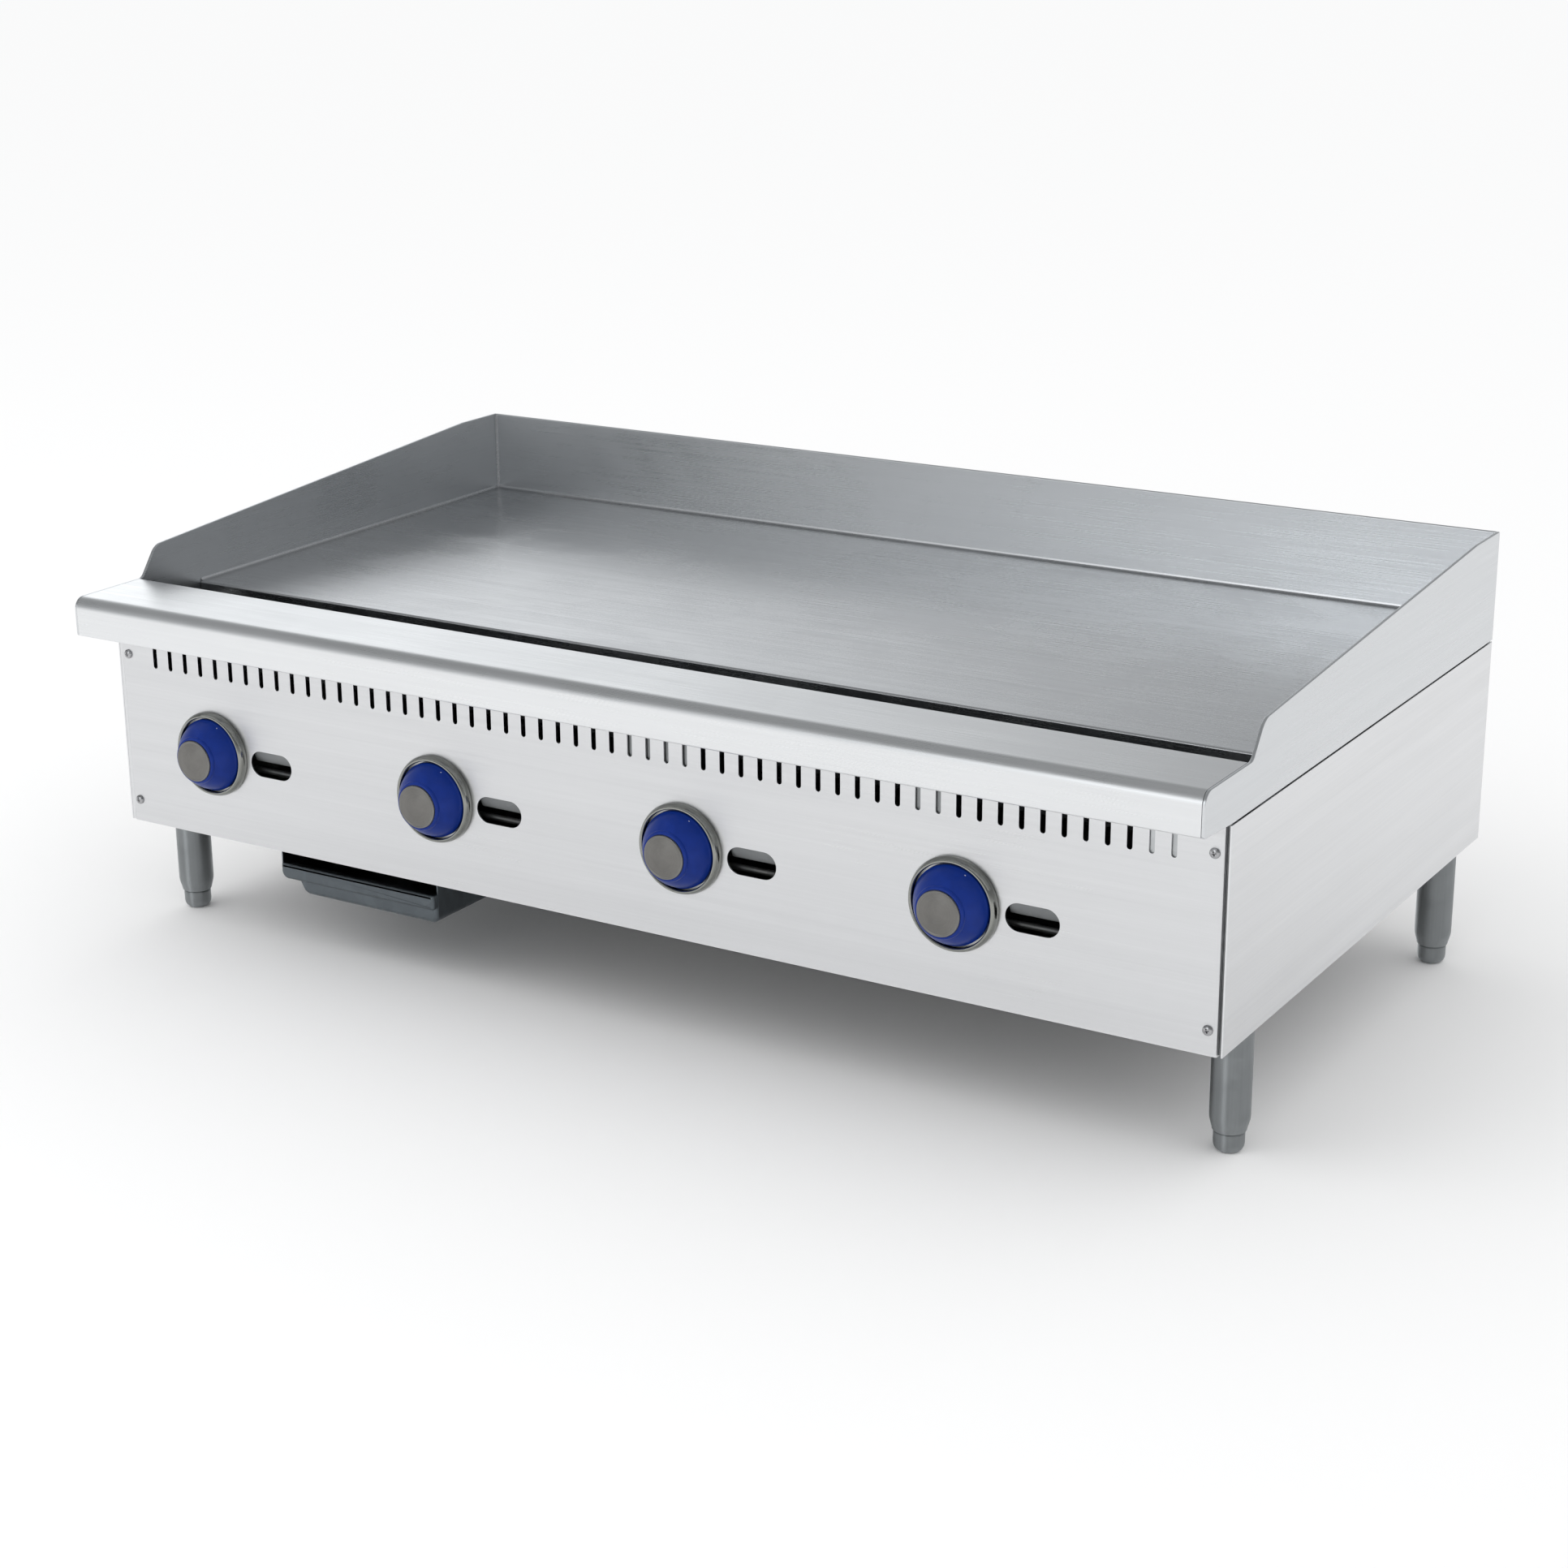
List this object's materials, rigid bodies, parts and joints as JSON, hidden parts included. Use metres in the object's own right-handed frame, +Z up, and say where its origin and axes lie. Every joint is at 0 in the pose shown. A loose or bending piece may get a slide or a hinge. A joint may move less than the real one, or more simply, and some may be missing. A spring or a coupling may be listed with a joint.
{
  "type": "flat top griddle",
  "caption": "Countertop gas flat top griddle: flat steel cooking plate with splash guards, front grease trough, control knobs, pull-out drip tray and adjustable feet.",
  "frame": {"origin": "on the counter, under the centre of the whole object's box", "axes": "+X to the right seen from the front, +Y to the rear, +Z up; the front with the knobs faces -Y"},
  "size_m": [1.2192, 0.726, 0.4295],
  "materials": {
    "brushed_casing": "stainless steel, horizontal brushed grain",
    "splash_guard": "stainless steel, long brushed grain",
    "nose_rail": "stainless steel, brighter brushed grain",
    "cooking_plate": "ground and polished carbon steel plate, thin oil film",
    "leg_steel": "polished steel tube",
    "knob_blue": "blue moulded heat-resistant plastic",
    "knob_cap": "satin spun aluminium disc",
    "bezel": "bright chromed ring",
    "galvanised": "plain sheet steel, dull",
    "burner_iron": "heat-darkened tube",
    "black_pipe": "black iron gas pipe",
    "valve_brass": "machined brass",
    "pilot_tube": "drawn tube"
  },
  "bodies": {
    "griddle": {"back_splash": "splash_guard", "bezel_1": "bezel", "bezel_2": "bezel", "bezel_3": "bezel", "bezel_4": "bezel", "bottom_panel": "galvanised", "burner_1": "burner_iron", "burner_2": "burner_iron", "burner_3": "burner_iron", "burner_4": "burner_iron", "burner_rail_front": "galvanised", "burner_rail_rear": "galvanised", "front_nose_rail": "nose_rail", "front_panel": "brushed_casing", "gas_inlet_pipe": "black_pipe", "gas_manifold": "black_pipe", "gas_valve_1": "valve_brass", "gas_valve_2": "valve_brass", "gas_valve_3": "valve_brass", "gas_valve_4": "valve_brass", "grease_chute": "galvanised", "grease_trough": "galvanised", "griddle_plate": "cooking_plate", "heat_shield": "galvanised", "left_side_panel": "brushed_casing", "left_splash": "splash_guard", "leg_front_left": "leg_steel", "leg_front_right": "leg_steel", "leg_rear_left": "leg_steel", "leg_rear_right": "leg_steel", "panel_screw_1": "leg_steel", "panel_screw_2": "leg_steel", "panel_screw_3": "leg_steel", "panel_screw_4": "leg_steel", "pilot_tube_1": "pilot_tube", "pilot_tube_2": "pilot_tube", "pilot_tube_3": "pilot_tube", "pilot_tube_4": "pilot_tube", "rear_panel": "galvanised", "right_side_panel": "brushed_casing", "right_splash": "splash_guard", "tray_rail_left": "galvanised", "tray_rail_right": "galvanised"},
    "control_1": {"knob_1": "knob_blue", "knob_cap_1": "knob_cap", "valve_stem_1": "valve_brass"},
    "control_2": {"knob_2": "knob_blue", "knob_cap_2": "knob_cap", "valve_stem_2": "valve_brass"},
    "control_3": {"knob_3": "knob_blue", "knob_cap_3": "knob_cap", "valve_stem_3": "valve_brass"},
    "control_4": {"knob_4": "knob_blue", "knob_cap_4": "knob_cap", "valve_stem_4": "valve_brass"},
    "drip_tray": {"drip_tray": "galvanised"},
    "levelling_foot_front_left": {"foot_front_left": "leg_steel"},
    "levelling_foot_rear_left": {"foot_rear_left": "leg_steel"},
    "levelling_foot_front_right": {"foot_front_right": "leg_steel"},
    "levelling_foot_rear_right": {"foot_rear_right": "leg_steel"}
  },
  "joints": [
    {"name": "knob_1_turn", "type": "hinge", "parent": "griddle", "child": "control_1", "pos_m": [-0.489, -0.3075, 0.204], "axis": [0, -1, 0], "range_deg": [0, 90]},
    {"name": "knob_2_turn", "type": "hinge", "parent": "griddle", "child": "control_2", "pos_m": [-0.207, -0.3075, 0.204], "axis": [0, -1, 0], "range_deg": [0, 90]},
    {"name": "knob_3_turn", "type": "hinge", "parent": "griddle", "child": "control_3", "pos_m": [0.075, -0.3075, 0.204], "axis": [0, -1, 0], "range_deg": [0, 90]},
    {"name": "knob_4_turn", "type": "hinge", "parent": "griddle", "child": "control_4", "pos_m": [0.357, -0.3075, 0.204], "axis": [0, -1, 0], "range_deg": [0, 90]},
    {"name": "drip_tray_slide", "type": "slide", "parent": "griddle", "child": "drip_tray", "axis": [0, -1, 0], "range_m": [0, 0.4]},
    {"name": "foot_front_left_level", "type": "slide", "parent": "griddle", "child": "levelling_foot_front_left", "axis": [0, 0, -1], "range_m": [0, 0.025]},
    {"name": "foot_rear_left_level", "type": "slide", "parent": "griddle", "child": "levelling_foot_rear_left", "axis": [0, 0, -1], "range_m": [0, 0.025]},
    {"name": "foot_front_right_level", "type": "slide", "parent": "griddle", "child": "levelling_foot_front_right", "axis": [0, 0, -1], "range_m": [0, 0.025]},
    {"name": "foot_rear_right_level", "type": "slide", "parent": "griddle", "child": "levelling_foot_rear_right", "axis": [0, 0, -1], "range_m": [0, 0.025]}
  ]
}
